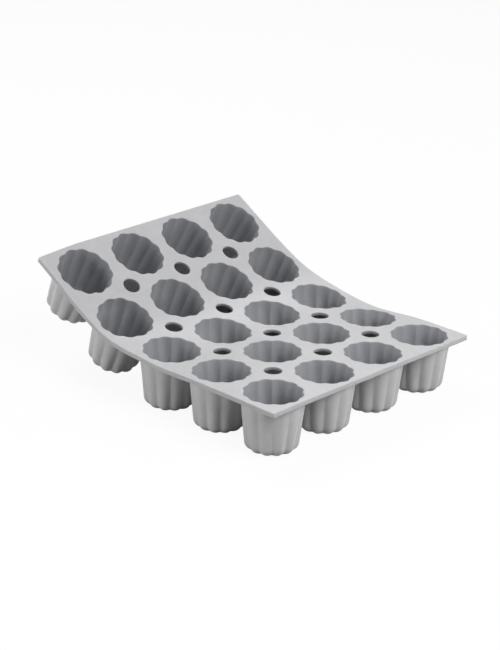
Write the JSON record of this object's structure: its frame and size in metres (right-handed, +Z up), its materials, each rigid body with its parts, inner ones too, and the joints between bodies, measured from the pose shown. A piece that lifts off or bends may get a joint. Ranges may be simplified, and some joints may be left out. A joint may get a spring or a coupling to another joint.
{
  "type": "silicone mini canele mould",
  "caption": "Flexible silicone baking mould: a thin vented sheet with rows of small fluted cups hanging from it, standing on its front cups with its back end curled up.",
  "frame": {"origin": "centre of the underside of the object's box, on the plane that the front rows' cups stand on", "axes": "+Z up, +Y along the sheet from the front row to the curled-up back row, +X across the rows"},
  "size_m": [0.176, 0.2106, 0.0753],
  "materials": {
    "sheet_silicone": "satin light grey moulded silicone, faintly mottled",
    "cup_silicone": "satin light grey moulded silicone, fluted lengthwise"
  },
  "bodies": {
    "row_1": {"deck_row_1": "sheet_silicone", "cup_1a": "cup_silicone", "cup_1b": "cup_silicone", "cup_1c": "cup_silicone", "cup_1d": "cup_silicone"},
    "row_2": {"deck_row_2": "sheet_silicone", "cup_2a": "cup_silicone", "cup_2b": "cup_silicone", "cup_2c": "cup_silicone", "cup_2d": "cup_silicone"},
    "row_3": {"deck_row_3": "sheet_silicone", "cup_3a": "cup_silicone", "cup_3b": "cup_silicone", "cup_3c": "cup_silicone", "cup_3d": "cup_silicone"},
    "row_4": {"deck_row_4": "sheet_silicone", "cup_4a": "cup_silicone", "cup_4b": "cup_silicone", "cup_4c": "cup_silicone", "cup_4d": "cup_silicone"},
    "row_5": {"deck_row_5": "sheet_silicone", "cup_5a": "cup_silicone", "cup_5b": "cup_silicone", "cup_5c": "cup_silicone", "cup_5d": "cup_silicone"}
  },
  "joints": [
    {"name": "flex_2_3", "type": "hinge", "parent": "row_3", "child": "row_2", "pos_m": [0, -0.02129, 0.0335], "axis": [-1, 0, 0], "range_deg": [-17, 45]},
    {"name": "flex_1_2", "type": "hinge", "parent": "row_2", "child": "row_1", "pos_m": [0, -0.06329, 0.0335], "axis": [-1, 0, 0], "range_deg": [-17, 45]},
    {"name": "flex_3_4", "type": "hinge", "parent": "row_3", "child": "row_4", "pos_m": [0, 0.02071, 0.0335], "axis": [1, 0, 0], "range_deg": [-43.2, 18.8]},
    {"name": "flex_4_5", "type": "hinge", "parent": "row_4", "child": "row_5", "pos_m": [0, 0.05839, 0.05204], "axis": [1, 0, 0], "range_deg": [-22.3, 39.7]}
  ]
}
